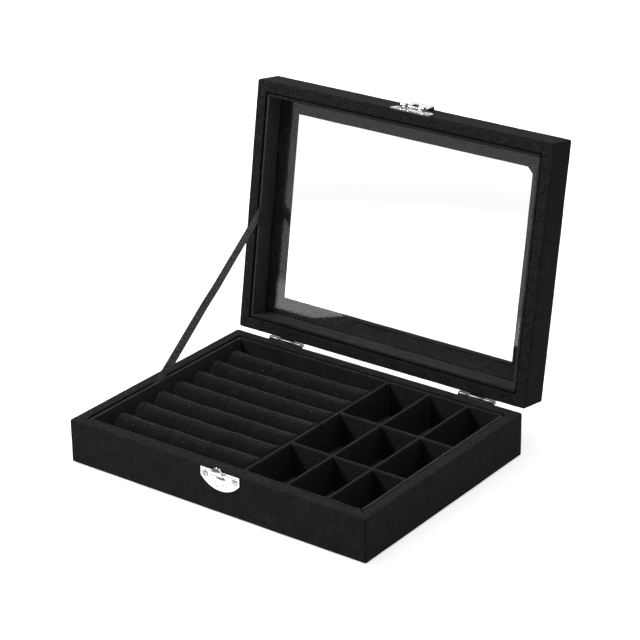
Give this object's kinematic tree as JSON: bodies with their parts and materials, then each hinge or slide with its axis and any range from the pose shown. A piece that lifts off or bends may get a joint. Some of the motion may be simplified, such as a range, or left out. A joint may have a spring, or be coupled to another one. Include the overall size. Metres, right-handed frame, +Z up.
{
  "type": "ring display box",
  "caption": "Low velvet display box with padded ring rolls and small cells under a hinged glass lid that a ribbon holds open, shut by a hook-and-hasp clasp.",
  "frame": {"origin": "middle of the underside, on the surface that the box stands on", "axes": "+X to the right along the front, +Y to the hinged back, +Z up; stored with the lid open on its ribbon"},
  "size_m": [0.2, 0.1987, 0.1798],
  "materials": {
    "velvet_cover": "black velvet, short pile",
    "velvet_lining": "black velvet, short pile",
    "velvet_divider": "black velvet, short pile",
    "velvet_roll": "black velvet over foam",
    "base_sheet": "black felt",
    "board": "raw fibreboard",
    "glass": "clear window glass",
    "hinge_metal": "nickel-plated steel",
    "pin_metal": "plain steel wire",
    "clasp_metal": "bright nickel plate",
    "screw_metal": "nickel-plated steel",
    "ribbon": "woven black grosgrain"
  },
  "bodies": {
    "base": {"base_bottom_cover": "base_sheet", "base_bottom_board": "board", "base_front_wall": "board", "base_back_wall": "board", "base_left_wall": "board", "base_right_wall": "board", "base_velvet_wrap": "velvet_cover", "base_lining_front": "velvet_lining", "base_lining_back": "velvet_lining", "base_lining_left": "velvet_lining", "base_lining_right": "velvet_lining", "floor_lining": "velvet_lining", "section_divider": "velvet_divider", "column_divider_1": "velvet_divider", "column_divider_2": "velvet_divider", "row_divider_1": "velvet_divider", "row_divider_2": "velvet_divider", "ring_tray_board": "velvet_lining", "ring_roll_1": "velvet_roll", "ring_roll_2": "velvet_roll", "ring_roll_3": "velvet_roll", "ring_roll_4": "velvet_roll", "ring_roll_5": "velvet_roll", "ring_roll_6": "velvet_roll", "ring_roll_7": "velvet_roll", "catch_plate": "clasp_metal", "catch_screws": "screw_metal", "hinge_leaf_base_left": "hinge_metal", "hinge_leaf_base_right": "hinge_metal", "hinge_pin_left": "pin_metal", "hinge_pin_right": "pin_metal", "hinge_screws_base": "screw_metal", "stay_ribbon": "ribbon"},
    "lid": {"lid_front_wall": "board", "lid_back_wall": "board", "lid_left_wall": "board", "lid_right_wall": "board", "lid_window_frame": "board", "lid_velvet_wrap": "velvet_cover", "glass_pane": "glass", "lid_lining_front": "velvet_lining", "lid_lining_back": "velvet_lining", "lid_lining_left": "velvet_lining", "lid_lining_right": "velvet_lining", "hinge_leaf_lid_left": "hinge_metal", "hinge_leaf_lid_right": "hinge_metal", "hinge_screws_lid": "screw_metal", "hasp_plate": "clasp_metal", "hasp_pin": "pin_metal", "hasp_screws": "screw_metal"},
    "hasp_flap": {"hasp_flap": "clasp_metal"}
  },
  "joints": [
    {"name": "lid_hinge", "type": "hinge", "parent": "base", "child": "lid", "pos_m": [0, 0.0765, 0.02665], "axis": [1, 0, 0], "range_deg": [0, 99], "deforming": ["stay_ribbon"]},
    {"name": "flap_hinge", "type": "hinge", "parent": "lid", "child": "hasp_flap", "pos_m": [0.0062, 0.1045, 0.17819], "axis": [1, 0, 0], "range_deg": [0, 172.72]}
  ]
}
